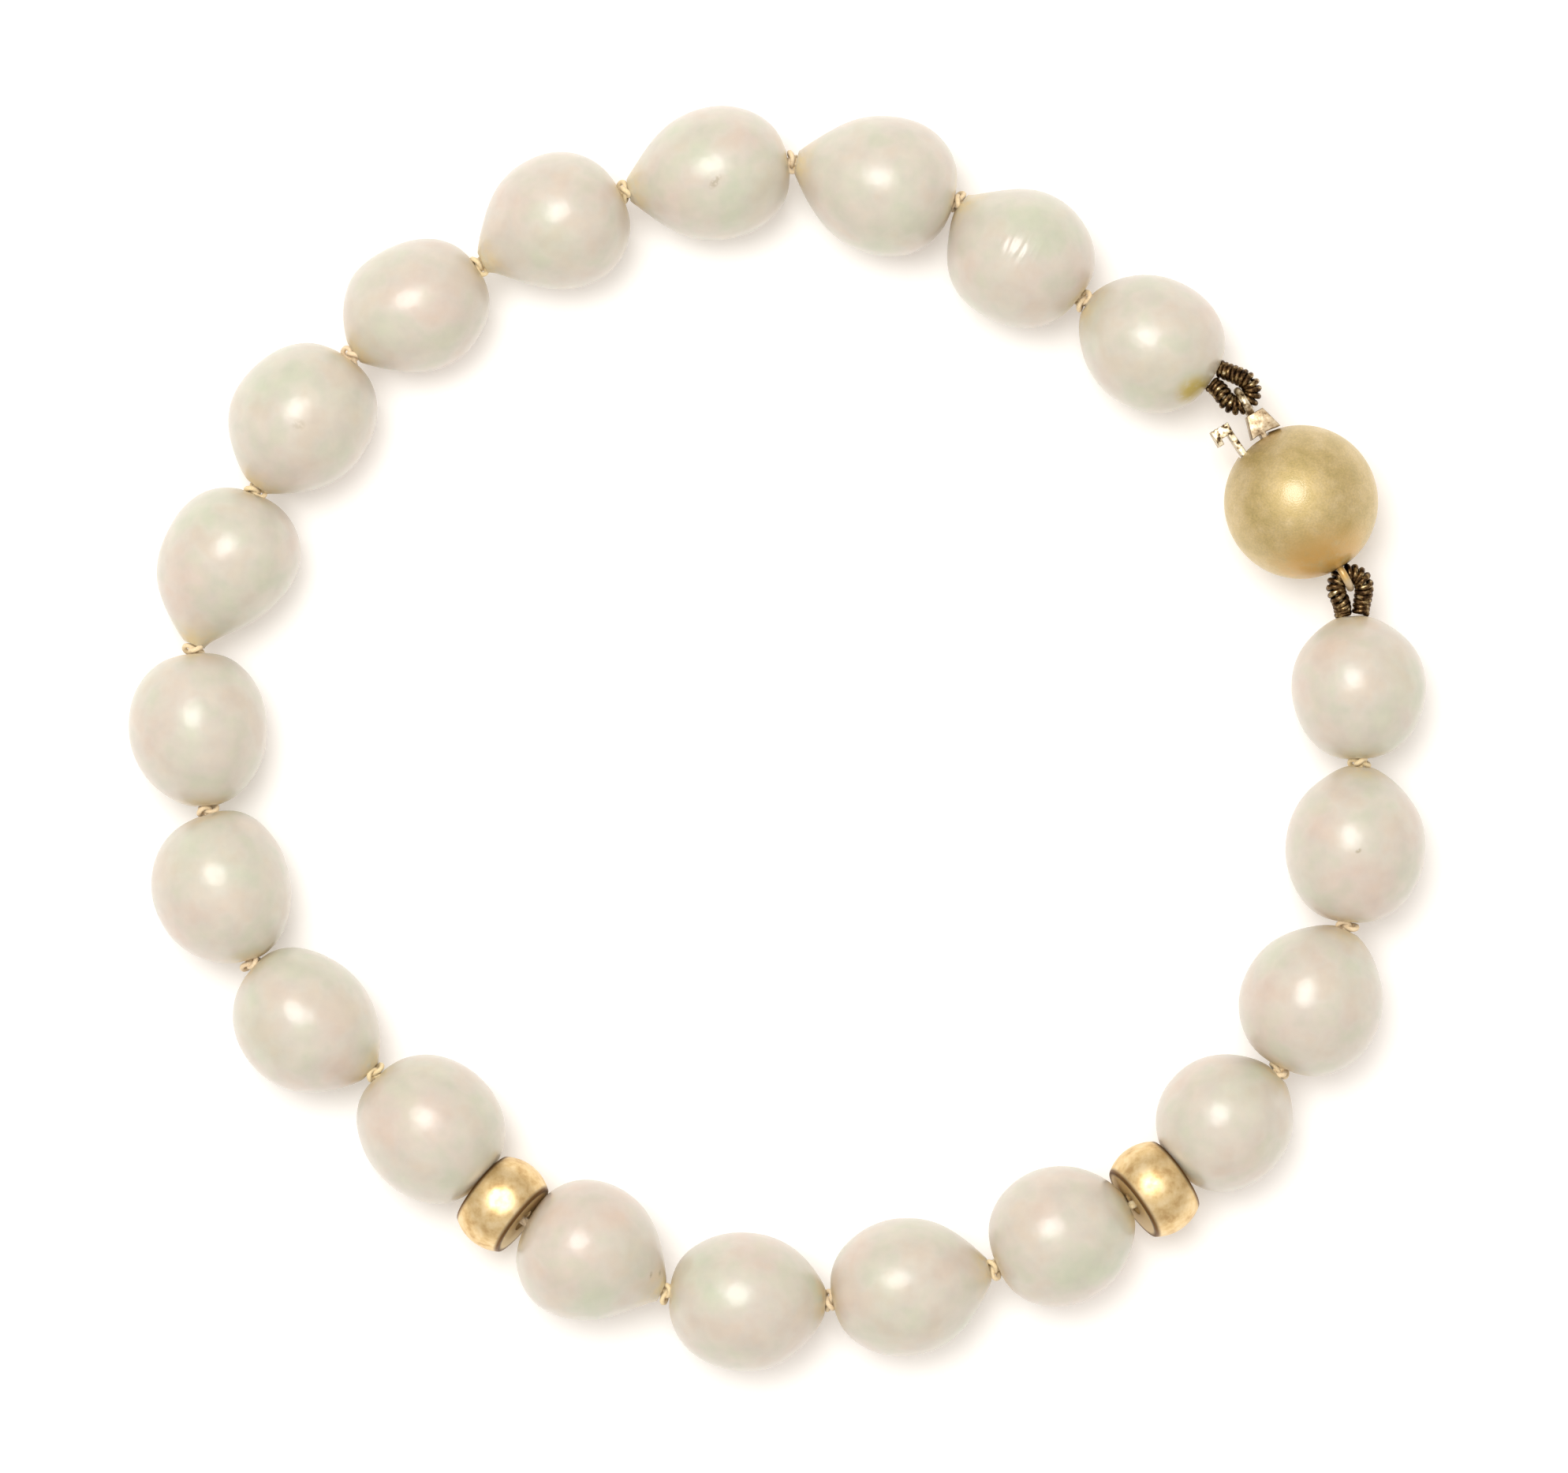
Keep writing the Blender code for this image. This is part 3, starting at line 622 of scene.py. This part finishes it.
def tarnished_wire(name):
    """Fine gold-coloured wire gone dark brown, with bright glints where it is rubbed."""
    finish = Finish(name, Metallic=1.0)
    wear = finish.noise(0.3 * MM, detail=4, roughness=0.6)
    finish.set_colour(
        finish.ramp(
            wear,
            (0.38, (0.03, 0.016, 0.008)),
            (0.52, (0.13, 0.075, 0.032)),
            (0.62, (0.34, 0.25, 0.12)),
            (0.72, (0.88, 0.78, 0.55)),
        )
    )
    finish.set_roughness(finish.range(wear, 0.45, 0.25))
    finish.bump(finish.noise(0.08 * MM), 0.006 * MM)
    return finish.material


def silk(name):
    """Cream silk yellowed with wear, with the fine streaks of its fibres."""
    finish = Finish(name, Sheen_Weight=0.3, Roughness=0.7)
    fibres = finish.noise(0.05 * MM, detail=4, distortion=1.0)
    streaks = finish.ramp(
        fibres, (0.30, (0.70, 0.56, 0.36)), (0.55, (0.86, 0.74, 0.54)), (0.75, (0.93, 0.86, 0.70))
    )
    yellowed = finish.ramp(finish.noise(6 * MM), (0.4, (1.0, 0.96, 0.80)), (0.6, (1.0, 0.94, 0.88)))
    finish.set_colour(finish.mix(1.0, streaks, yellowed, "MULTIPLY"))
    finish.bump(fibres, 0.02 * MM, 0.6)
    return finish.material


# Pearls

PEARL_LEVELS = 2
CAGE_SHRINK = 1.018
SKIN_UNEVENNESS = 0.10 * MM
SKIN_FEATURE = 3.2 * MM


def skin_texture():
    texture = bpy.data.textures.new("pearl_skin", "CLOUDS")
    texture.noise_scale = SKIN_FEATURE
    texture.noise_depth = 1
    return texture


def place_on_strand(pearl, bead, number):
    """Writes on each vertex how far along the hole it is, how far from a mouth, and the pearl's number."""
    along = (bead.end - bead.start).normalized()
    places = pearl.data.attributes.new(PLACE_ATTRIBUTE, "FLOAT_VECTOR", "POINT")
    for vertex, place in zip(pearl.data.vertices, places.data):
        nearest = min((vertex.co - bead.start).length, (vertex.co - bead.end).length)
        place.vector = ((vertex.co - bead.start).dot(along) / MM, nearest / MM, number)


def add_pearls(material):
    texture = skin_texture()
    for number, node in enumerate(PEARLS, start=1):
        pearl = merged_copy(node, f"{node}_nacre")
        subdivide_smooth(pearl, PEARL_LEVELS)
        low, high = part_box(node)
        make_active(pearl)
        bpy.ops.object.mode_set(mode="EDIT")
        bpy.ops.mesh.select_all(action="SELECT")
        bpy.ops.transform.resize(value=(CAGE_SHRINK,) * 3, center_override=(low + high) / 2)
        bpy.ops.object.mode_set(mode="OBJECT")
        apply_modifier(pearl, "skin", "DISPLACE", texture=texture, strength=SKIN_UNEVENNESS, mid_level=0.5)
        bpy.ops.object.shade_smooth()
        place_on_strand(pearl, beads[node], number)
        finish_piece(pearl, material, [node])


# Rondelles

RONDELLE_GIRTH = 5.0 * MM
RONDELLE_RIM = 4.1 * MM
RONDELLE_BORE = 1.2 * MM
RONDELLE_SIDES = 96
RONDELLE_RINGS = 64
BORE_SIDES = 48
RIM_EDGE = 0.26 * MM
RIM_SEGMENTS = 5
RIM_ANGLE = 40

DENTED_RONDELLE = "rondelle_1"
DENT_SPOT = Vector((-14.2, -24.0, 6.0)) * MM
DENT_DEPTH = 0.09 * MM
DENT_REACH = 0.85 * MM


def dent(obj, spot, depth, reach):
    """Pushes the skin nearest a spot straight down, with a smooth edge."""
    make_active(obj)
    bpy.ops.object.mode_set(mode="EDIT")
    bpy.ops.mesh.select_mode(type="VERT")
    bpy.ops.mesh.select_all(action="DESELECT")
    bpy.ops.object.mode_set(mode="OBJECT")
    min(obj.data.vertices, key=lambda vertex: (vertex.co - spot).length).select = True
    bpy.ops.object.mode_set(mode="EDIT")
    bpy.ops.transform.translate(
        value=(0, 0, -depth),
        use_proportional_edit=True,
        proportional_edit_falloff="SMOOTH",
        proportional_size=reach,
        use_proportional_connected=True,
    )
    bpy.ops.object.mode_set(mode="OBJECT")


def add_rondelle(node):
    """A band cut from a stretched sphere, drilled and with its rims rounded over."""
    start, end = beads[node]
    length = (end - start).length
    belly, rim = RONDELLE_GIRTH / 2, RONDELLE_RIM / 2
    stretch = length / 2 / math.sqrt(belly ** 2 - rim ** 2)
    axis = (end - start).normalized()
    clear_selection()
    bpy.ops.mesh.primitive_uv_sphere_add(segments=RONDELLE_SIDES, ring_count=RONDELLE_RINGS, radius=belly)
    rondelle = name_new(f"{node}_gold")
    bpy.ops.object.mode_set(mode="EDIT")
    bpy.ops.transform.resize(value=(1, 1, stretch))
    for side in (-1, 1):
        bpy.ops.mesh.select_all(action="SELECT")
        bpy.ops.mesh.bisect(
            plane_co=(0, 0, side * length / 2),
            plane_no=(0, 0, side),
            use_fill=True,
            clear_outer=True,
            threshold=CUT_TOLERANCE,
        )
    bpy.ops.object.mode_set(mode="OBJECT")
    bpy.ops.mesh.primitive_cylinder_add(vertices=BORE_SIDES, radius=RONDELLE_BORE / 2, depth=2 * length)
    combine(rondelle, bpy.context.object, "DIFFERENCE")
    round_edges(rondelle, RIM_EDGE, RIM_SEGMENTS, RIM_ANGLE)
    rondelle.rotation_euler = axis.to_track_quat("Z", "Y").to_euler()
    rondelle.location = (start + end) / 2
    apply_place(rondelle)
    clear_slivers(rondelle)
    if node == DENTED_RONDELLE:
        dent(rondelle, DENT_SPOT, DENT_DEPTH, DENT_REACH)
    smooth_by_angle(rondelle)
    gold = polished_gold(f"{node}_polish", (start + end) / 2, axis, length / 2)
    finish_piece(rondelle, gold, [node])


# Thread and knots

PLIES = 3
PLY = 0.27 * MM
PLY_RADIUS = 0.1 * MM
PLY_TWIST = 1.3 * MM
PLY_STEP = 0.16 * MM
KNOT_RADIUS = 0.55 * MM
KNOT_DEPTH = 0.14 * MM
KNOT_POINTS = 60


def side_vectors(along):
    """Two directions square to a level-ish direction, the second one upwards."""
    aside = Vector((0, 0, 1)).cross(along).normalized()
    return aside, along.cross(aside)


def resampled(points, step):
    """Points at an even step along a line of points, with the direction of the line at each."""
    spots = []
    carried = 0.0
    for near, far in zip(points, points[1:]):
        length = (far - near).length
        along = (far - near).normalized()
        while carried < length:
            spots.append((near + along * carried, along))
            carried += step
        carried -= length
    return spots


def coil_points(points, radius, pitch, per_turn, start_turn=0.0, swell=0.0):
    """A helix of this radius and pitch round a line of points, fuller by swell halfway along."""
    coil = []
    spots = resampled(points, pitch / per_turn)
    for index, (spot, along) in enumerate(spots):
        aside, up = side_vectors(along)
        angle = start_turn + 2 * math.pi * index / per_turn
        reach = radius + swell * math.sin(math.pi * index / len(spots))
        coil.append(spot + (aside * math.cos(angle) + up * math.sin(angle)) * reach)
    return coil


def knot_points(centre, along, turn):
    """An overhand knot pulled tight, as a closed curve in the gap between two pearls."""
    aside, up = side_vectors(along)
    points = []
    for index in range(KNOT_POINTS):
        angle = 2 * math.pi * index / KNOT_POINTS
        across = (math.sin(angle) + 2 * math.sin(2 * angle)) / 3 * KNOT_RADIUS
        above = (math.cos(angle) - 2 * math.cos(2 * angle)) / 3 * KNOT_RADIUS
        deep = -math.sin(3 * angle) * KNOT_DEPTH
        spun_across = across * math.cos(turn) - above * math.sin(turn)
        spun_above = across * math.sin(turn) + above * math.cos(turn)
        points.append(centre + aside * spun_across + up * spun_above + along * deep)
    return points


def add_thread(material, sleeve_routes):
    line = [end for bead in beads.values() for end in bead]
    splines = []
    for ply in range(PLIES):
        turn = 2 * math.pi * ply / PLIES
        splines.append((coil_points(line, PLY_RADIUS, PLY_TWIST, round(PLY_TWIST / PLY_STEP), turn), False))
    for route in sleeve_routes:
        splines.append((route, False))
    names = list(beads)
    for turn, (node, following) in enumerate(zip(names, names[1:])):
        if node in PEARLS and following in PEARLS:
            near, far = beads[node].end, beads[following].start
            knot = knot_points((near + far) / 2, (far - near).normalized(), turn)
            splines.append((knot, True))
    thread = tube_along("silk_thread_plies", splines, PLY)
    finish_piece(thread, material, ["silk_thread"])


# Clasp

def eased(start, start_pull, end, end_pull, steps):
    """Points on a smooth curve from start to end, which leaves and arrives along the two pulls."""
    points = []
    for step in range(steps):
        share = step / steps
        ease = share * share * (3 - 2 * share)
        pull = start_pull * (share * (1 - share) ** 2) - end_pull * (share ** 2 * (1 - share))
        points.append(start * (1 - ease) + end * ease + pull)
    return points


def sleeve_route(mouth, outwards, bend_centre, towards_ring):
    """Centre line of a sleeve, from a pearl's mouth round the ring's wire and back."""
    across_mouth = Vector((-outwards.y, outwards.x, 0))
    across_ring = Vector((-towards_ring.y, towards_ring.x, 0))
    seat = mouth + outwards * SLEEVE_SEAT
    legs = [
        eased(
            seat + across_mouth * (SLEEVE_SPLAY * side),
            outwards * SLEEVE_LEAD,
            bend_centre + across_ring * (RING_RADIUS * side),
            towards_ring * SLEEVE_LEAD,
            SLEEVE_LEG_POINTS,
        )
        for side in (1, -1)
    ]
    turn = []
    for step in range(SLEEVE_TURN_POINTS + 1):
        angle = math.pi * step / SLEEVE_TURN_POINTS
        turn.append(
            bend_centre
            + across_ring * (RING_RADIUS * math.cos(angle))
            + towards_ring * (RING_RADIUS * math.sin(angle))
        )
    return legs[0] + turn + legs[1][::-1]


def sleeve_routes():
    first, last = beads[PEARLS[0]], beads[PEARLS[-1]]
    tongue_bend = tongue_tip - clasp_axis * (RING_WIRE / 2)
    ball_bend = ball_tip + clasp_axis * (RING_WIRE / 2)
    return (
        sleeve_route(first.start, (first.start - first.end).normalized(), tongue_bend, -clasp_axis),
        sleeve_route(last.end, (last.end - last.start).normalized(), ball_bend, clasp_axis),
    )


def add_sleeve(number, route, material):
    radius = (COIL_THICKNESS - COIL_WIRE) / 2
    coil = coil_points(route, radius, COIL_PITCH, COIL_POINTS, swell=COIL_SWELL / 2)
    sleeve = tube_along(f"wire_sleeve_{number}_coil", [(coil, False)], COIL_WIRE, resolution=4)
    finish_piece(sleeve, material, [f"wire_sleeve_{number}"])


def add_ring(centre_x, name):
    """An upright ring on the clasp's own axis, in the clasp's own frame."""
    clear_selection()
    bpy.ops.mesh.primitive_torus_add(
        major_radius=RING_RADIUS,
        minor_radius=RING_WIRE / 2,
        major_segments=RING_SIDES,
        minor_segments=RING_WIRE_SIDES,
        location=(centre_x, 0, 0),
        rotation=(math.pi / 2, 0, 0),
    )
    ring = name_new(name)
    apply_place(ring)
    return ring


BALL_SIDES, BALL_RINGS = 128, 64
HOLLOW_SIDES, HOLLOW_RINGS = 64, 32
BALL_WALL = 0.35 * MM
BROWNED_AND_REFLECTION_OFFSET = Vector((-1.0, 0.4, 1.6)) * MM
SLOT_NEAR, SLOT_FAR = -0.27 * MM, 1.66 * MM
SLOT_HEIGHT = 2.04 * MM
SLOT_LENGTH = 3.0 * MM
SLOT_MIDDLE = 3.44 * MM
COLLAR_TOP = 5.25 * MM
COLLAR_TRIM = 0.002 * MM
EDGE_ROUNDING = 0.04 * MM
EDGE_SEGMENTS = 2
EDGE_ANGLE = 30
TONGUE_RUBBED_REACH = 1.7 * MM
TAB_SPOT = Vector((5.2, 1.8, 0.6)) * MM
TAB_WEAR_AND_HIGHLIGHT_REACH = 2.2 * MM


def add_ball(material):
    clear_selection()
    bpy.ops.mesh.primitive_uv_sphere_add(
        segments=BALL_SIDES, ring_count=BALL_RINGS, radius=BALL_RADIUS, rotation=(0, math.pi / 2, 0)
    )
    ball = name_new("clasp_ball_shell")
    apply_place(ball)
    ring_x = -((ball_tip - ball_centre).length - RING_OUTER)
    combine(ball, add_ring(ring_x, "ball_ring"), "UNION")
    clear_selection()
    bpy.ops.mesh.primitive_uv_sphere_add(
        segments=HOLLOW_SIDES, ring_count=HOLLOW_RINGS, radius=BALL_RADIUS - BALL_WALL
    )
    combine(ball, bpy.context.object, "DIFFERENCE")
    clear_selection()
    bpy.ops.mesh.primitive_cube_add(size=1, location=(SLOT_MIDDLE, (SLOT_NEAR + SLOT_FAR) / 2, 0))
    slot = name_new("slot")
    slot.scale = (SLOT_LENGTH, SLOT_FAR - SLOT_NEAR, SLOT_HEIGHT)
    apply_place(slot)
    combine(ball, slot, "DIFFERENCE")
    ball.matrix_world = clasp_place
    apply_place(ball)
    smooth_by_angle(ball)
    finish_piece(ball, material, ["clasp_ball"])


def soften_edges(plate):
    """Joins a plate's flat faces and rounds its edges a little."""
    make_active(plate)
    bpy.ops.object.mode_set(mode="EDIT")
    bpy.ops.mesh.select_all(action="SELECT")
    bpy.ops.mesh.dissolve_limited(angle_limit=math.radians(FLAT_ANGLE))
    bpy.ops.object.mode_set(mode="OBJECT")
    round_edges(plate, EDGE_ROUNDING, EDGE_SEGMENTS, EDGE_ANGLE)


def add_tongue(material):
    """The fixed strip with its collar. Its faceted ring is cut off and a smooth round one joined on."""
    tongue = merged_copy("clasp_tongue", "clasp_tongue_strip")
    bpy.ops.object.mode_set(mode="EDIT")
    bpy.ops.mesh.select_all(action="SELECT")
    bpy.ops.mesh.dissolve_limited(angle_limit=math.radians(FLAT_ANGLE))
    bpy.ops.mesh.select_all(action="SELECT")
    bpy.ops.mesh.bisect(
        plane_co=ball_centre + clasp_axis * (COLLAR_TOP - COLLAR_TRIM),
        plane_no=clasp_axis,
        use_fill=True,
        clear_outer=True,
        threshold=CUT_TOLERANCE,
    )
    bpy.ops.object.mode_set(mode="OBJECT")
    soften_edges(tongue)
    ring = add_ring((tongue_tip - ball_centre).length - RING_OUTER, "tongue_ring")
    ring.matrix_world = clasp_place
    apply_place(ring)
    combine(tongue, ring, "UNION")
    clear_slivers(tongue)
    smooth_by_angle(tongue)
    finish_piece(tongue, material, ["clasp_tongue"])


def add_leaf(material):
    leaf = merged_copy("clasp_thumb_leaf", "clasp_leaf_strip")
    soften_edges(leaf)
    clear_slivers(leaf)
    smooth_by_angle(leaf)
    finish_piece(leaf, material, ["clasp_thumb_leaf"], LEAF_BODY)


# Studio

FLOOR_SIZE = 1.6
FLOOR_DROP = 0.02 * MM
FLOOR_GLOW = 0.125
LIGHT_SIZE = 0.28
LIGHT_WATTS = 1.5
LIGHT_AZIMUTH = 125
LIGHT_TILT = 17
LIGHT_DISTANCE = 0.5


def add_floor():
    clear_selection()
    bpy.ops.mesh.primitive_plane_add(size=FLOOR_SIZE, location=(0, 0, -FLOOR_DROP))
    floor = name_new("floor")
    finish = Finish("white_board", Roughness=0.9)
    finish.shader.inputs["Specular IOR Level"].default_value = 0.1
    shade = finish.ramp(finish.noise(40 * MM), (0.3, (0.93, 0.93, 0.93)), (0.7, (0.95, 0.95, 0.95)))
    finish.set_colour(shade)
    finish.shader.inputs["Emission Color"].default_value = (1.0, 0.87, 0.76, 1)
    finish.shader.inputs["Emission Strength"].default_value = FLOOR_GLOW
    dress(floor, finish.material)


def add_camera():
    off_x = (PHOTO_WIDTH / 2 - BRACELET_MIDDLE_PX[0]) / PIXELS_PER_MM * MM
    off_y = (BRACELET_MIDDLE_PX[1] - PHOTO_HEIGHT / 2) / PIXELS_PER_MM * MM
    data = bpy.data.cameras.new("camera")
    data.sensor_width = SENSOR_WIDTH
    data.lens = SENSOR_WIDTH * CAMERA_HEIGHT / (PHOTO_WIDTH / PIXELS_PER_MM * MM)
    data.clip_start = 0.01
    camera = bpy.data.objects.new("camera", data)
    camera.location = (off_x, off_y, CAMERA_HEIGHT + AXIS_HEIGHT)
    bpy.context.scene.collection.objects.link(camera)
    bpy.context.scene.camera = camera


def add_softbox():
    """One round softbox beside the camera, aimed at the bracelet. Tilt is its angle from straight above."""
    around, lean = math.radians(LIGHT_AZIMUTH), math.radians(LIGHT_TILT)
    aim = Vector((math.sin(lean) * math.cos(around), math.sin(lean) * math.sin(around), math.cos(lean)))
    data = bpy.data.lights.new("softbox", "AREA")
    data.shape = "DISK"
    data.size = LIGHT_SIZE
    data.energy = LIGHT_WATTS
    data.color = (1.0, 0.99, 0.97)
    lamp = bpy.data.objects.new("softbox", data)
    lamp.location = aim * LIGHT_DISTANCE
    lamp.rotation_euler = aim.to_track_quat("Z", "Y").to_euler()
    bpy.context.scene.collection.objects.link(lamp)


def add_world():
    world = bpy.data.worlds.new("studio")
    bpy.context.scene.world = world
    world.use_nodes = True
    nodes, links = world.node_tree.nodes, world.node_tree.links
    place = nodes.new("ShaderNodeTexCoord")
    split = nodes.new("ShaderNodeSeparateXYZ")
    ramp = nodes.new("ShaderNodeValToRGB")
    ramp.color_ramp.elements[0].position = 0.0
    ramp.color_ramp.elements[0].color = (0.62, 0.565, 0.51, 1)
    ramp.color_ramp.elements[1].position = 0.9
    ramp.color_ramp.elements[1].color = (0.92, 0.88, 0.84, 1)
    links.new(place.outputs["Generated"], split.inputs["Vector"])
    links.new(split.outputs["Z"], ramp.inputs["Fac"])
    links.new(ramp.outputs["Color"], nodes["Background"].inputs["Color"])
    nodes["Background"].inputs["Strength"].default_value = 1.0


def add_studio():
    add_camera()
    add_floor()
    add_world()
    add_softbox()
    scene = bpy.context.scene
    scene.view_settings.view_transform = "Standard"


def main():
    add_studio()
    add_pearls(nacre("pearl_nacre"))
    for node in RONDELLES:
        add_rondelle(node)
    routes = sleeve_routes()
    add_thread(silk("knotting_silk"), routes)
    wire = tarnished_wire("sleeve_wire")
    for number, route in enumerate(routes, start=1):
        add_sleeve(number, route, wire)
    joint = ball_centre - clasp_axis * BALL_RADIUS
    collar_spot = ball_centre + clasp_axis * BALL_RADIUS
    add_ball(satin_gold("ball_gold", joint, joint + BROWNED_AND_REFLECTION_OFFSET, collar_spot, ball_tip))
    add_tongue(worn_gold("tongue_gold", tongue_tip, TONGUE_RUBBED_REACH))
    add_leaf(worn_gold("leaf_gold", clasp_place @ TAB_SPOT, TAB_WEAR_AND_HIGHLIGHT_REACH))


main()
